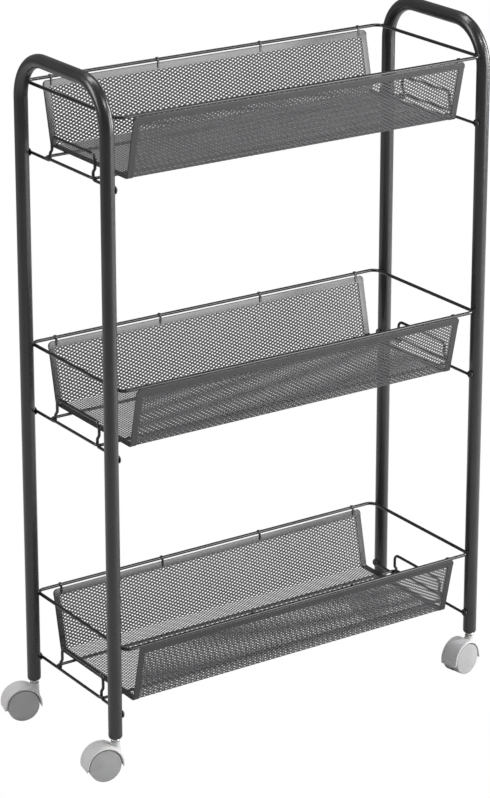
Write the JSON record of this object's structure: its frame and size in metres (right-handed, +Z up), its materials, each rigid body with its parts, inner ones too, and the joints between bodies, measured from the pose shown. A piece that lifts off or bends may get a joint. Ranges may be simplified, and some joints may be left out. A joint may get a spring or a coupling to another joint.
{
  "type": "rolling utility cart",
  "caption": "Narrow rolling cart: bent tube end frames hold open-ended mesh trays with wire rims, end stops and hooded twin-wheel swivel casters.",
  "frame": {"origin": "on the floor, midway between the four legs", "axes": "+X towards the right end frame, +Y towards the back, +Z up"},
  "size_m": [0.5551, 0.2235, 0.81],
  "materials": {
    "frame_paint": "satin",
    "wire_paint": "satin",
    "hem_paint": "satin",
    "mesh_paint": "satin",
    "screw_steel": "satin",
    "stem_steel": "zinc plated",
    "socket_plastic": "matt",
    "hood_plastic": "satin",
    "wheel_plastic": "satin"
  },
  "bodies": {
    "cart": {"end_frame_left": "frame_paint", "end_frame_right": "frame_paint", "rim_wire_top": "wire_paint", "rim_wire_middle": "wire_paint", "rim_wire_bottom": "wire_paint", "rim_tabs_top": "wire_paint", "rim_tabs_middle": "wire_paint", "rim_tabs_bottom": "wire_paint", "mesh_tray_top": "mesh_paint", "mesh_tray_middle": "mesh_paint", "mesh_tray_bottom": "mesh_paint", "side_hems_top": "hem_paint", "side_hems_middle": "hem_paint", "side_hems_bottom": "hem_paint", "end_hems_top": "hem_paint", "end_hems_middle": "hem_paint", "end_hems_bottom": "hem_paint", "under_wire_top": "wire_paint", "under_wire_middle": "wire_paint", "under_wire_bottom": "wire_paint", "stop_left_top": "wire_paint", "stop_left_middle": "wire_paint", "stop_left_bottom": "wire_paint", "stop_right_top": "wire_paint", "stop_right_middle": "wire_paint", "stop_right_bottom": "wire_paint", "screws_top": "screw_steel", "screws_middle": "screw_steel", "screws_bottom": "screw_steel", "leg_socket_front_left": "socket_plastic", "leg_socket_front_right": "socket_plastic", "leg_socket_rear_left": "socket_plastic", "leg_socket_rear_right": "socket_plastic", "stem_front_left": "stem_steel", "stem_front_right": "stem_steel", "stem_rear_left": "stem_steel", "stem_rear_right": "stem_steel"},
    "caster_front_left": {"hood_front_left": "hood_plastic", "axle_front_left": "stem_steel"},
    "wheel_front_left_a": {"wheel_front_left_a": "wheel_plastic"},
    "wheel_front_left_b": {"wheel_front_left_b": "wheel_plastic"},
    "caster_front_right": {"hood_front_right": "hood_plastic", "axle_front_right": "stem_steel"},
    "wheel_front_right_a": {"wheel_front_right_a": "wheel_plastic"},
    "wheel_front_right_b": {"wheel_front_right_b": "wheel_plastic"},
    "caster_rear_left": {"hood_rear_left": "hood_plastic", "axle_rear_left": "stem_steel"},
    "wheel_rear_left_a": {"wheel_rear_left_a": "wheel_plastic"},
    "wheel_rear_left_b": {"wheel_rear_left_b": "wheel_plastic"},
    "caster_rear_right": {"hood_rear_right": "hood_plastic", "axle_rear_right": "stem_steel"},
    "wheel_rear_right_a": {"wheel_rear_right_a": "wheel_plastic"},
    "wheel_rear_right_b": {"wheel_rear_right_b": "wheel_plastic"}
  },
  "joints": [
    {"name": "swivel_front_left", "type": "hinge", "parent": "cart", "child": "caster_front_left", "pos_m": [-0.2525, -0.091, 0.04], "axis": [0, 0, 1], "continuous": true},
    {"name": "roll_front_left_a", "type": "hinge", "parent": "caster_front_left", "child": "wheel_front_left_a", "pos_m": [-0.26821, -0.08795, 0.019], "axis": [0.1908, 0.9816, 0], "continuous": true},
    {"name": "roll_front_left_b", "type": "hinge", "parent": "caster_front_left", "child": "wheel_front_left_b", "pos_m": [-0.26821, -0.08795, 0.019], "axis": [0.1908, 0.9816, 0], "continuous": true},
    {"name": "swivel_front_right", "type": "hinge", "parent": "cart", "child": "caster_front_right", "pos_m": [0.2525, -0.091, 0.04], "axis": [0, 0, 1], "continuous": true},
    {"name": "roll_front_right_a", "type": "hinge", "parent": "caster_front_right", "child": "wheel_front_right_a", "pos_m": [0.23685, -0.09433, 0.019], "axis": [-0.2079, 0.9781, 0], "continuous": true},
    {"name": "roll_front_right_b", "type": "hinge", "parent": "caster_front_right", "child": "wheel_front_right_b", "pos_m": [0.23685, -0.09433, 0.019], "axis": [-0.2079, 0.9781, 0], "continuous": true},
    {"name": "swivel_rear_left", "type": "hinge", "parent": "cart", "child": "caster_rear_left", "pos_m": [-0.2525, 0.091, 0.04], "axis": [0, 0, 1], "continuous": true},
    {"name": "roll_rear_left_a", "type": "hinge", "parent": "caster_rear_left", "child": "wheel_rear_left_a", "pos_m": [-0.26795, 0.09514, 0.019], "axis": [0.2588, 0.9659, 0], "continuous": true},
    {"name": "roll_rear_left_b", "type": "hinge", "parent": "caster_rear_left", "child": "wheel_rear_left_b", "pos_m": [-0.26795, 0.09514, 0.019], "axis": [0.2588, 0.9659, 0], "continuous": true},
    {"name": "swivel_rear_right", "type": "hinge", "parent": "cart", "child": "caster_rear_right", "pos_m": [0.2525, 0.091, 0.04], "axis": [0, 0, 1], "continuous": true},
    {"name": "roll_rear_right_a", "type": "hinge", "parent": "caster_rear_right", "child": "wheel_rear_right_a", "pos_m": [0.23656, 0.09239, 0.019], "axis": [0.0872, 0.9962, 0], "continuous": true},
    {"name": "roll_rear_right_b", "type": "hinge", "parent": "caster_rear_right", "child": "wheel_rear_right_b", "pos_m": [0.23656, 0.09239, 0.019], "axis": [0.0872, 0.9962, 0], "continuous": true}
  ]
}
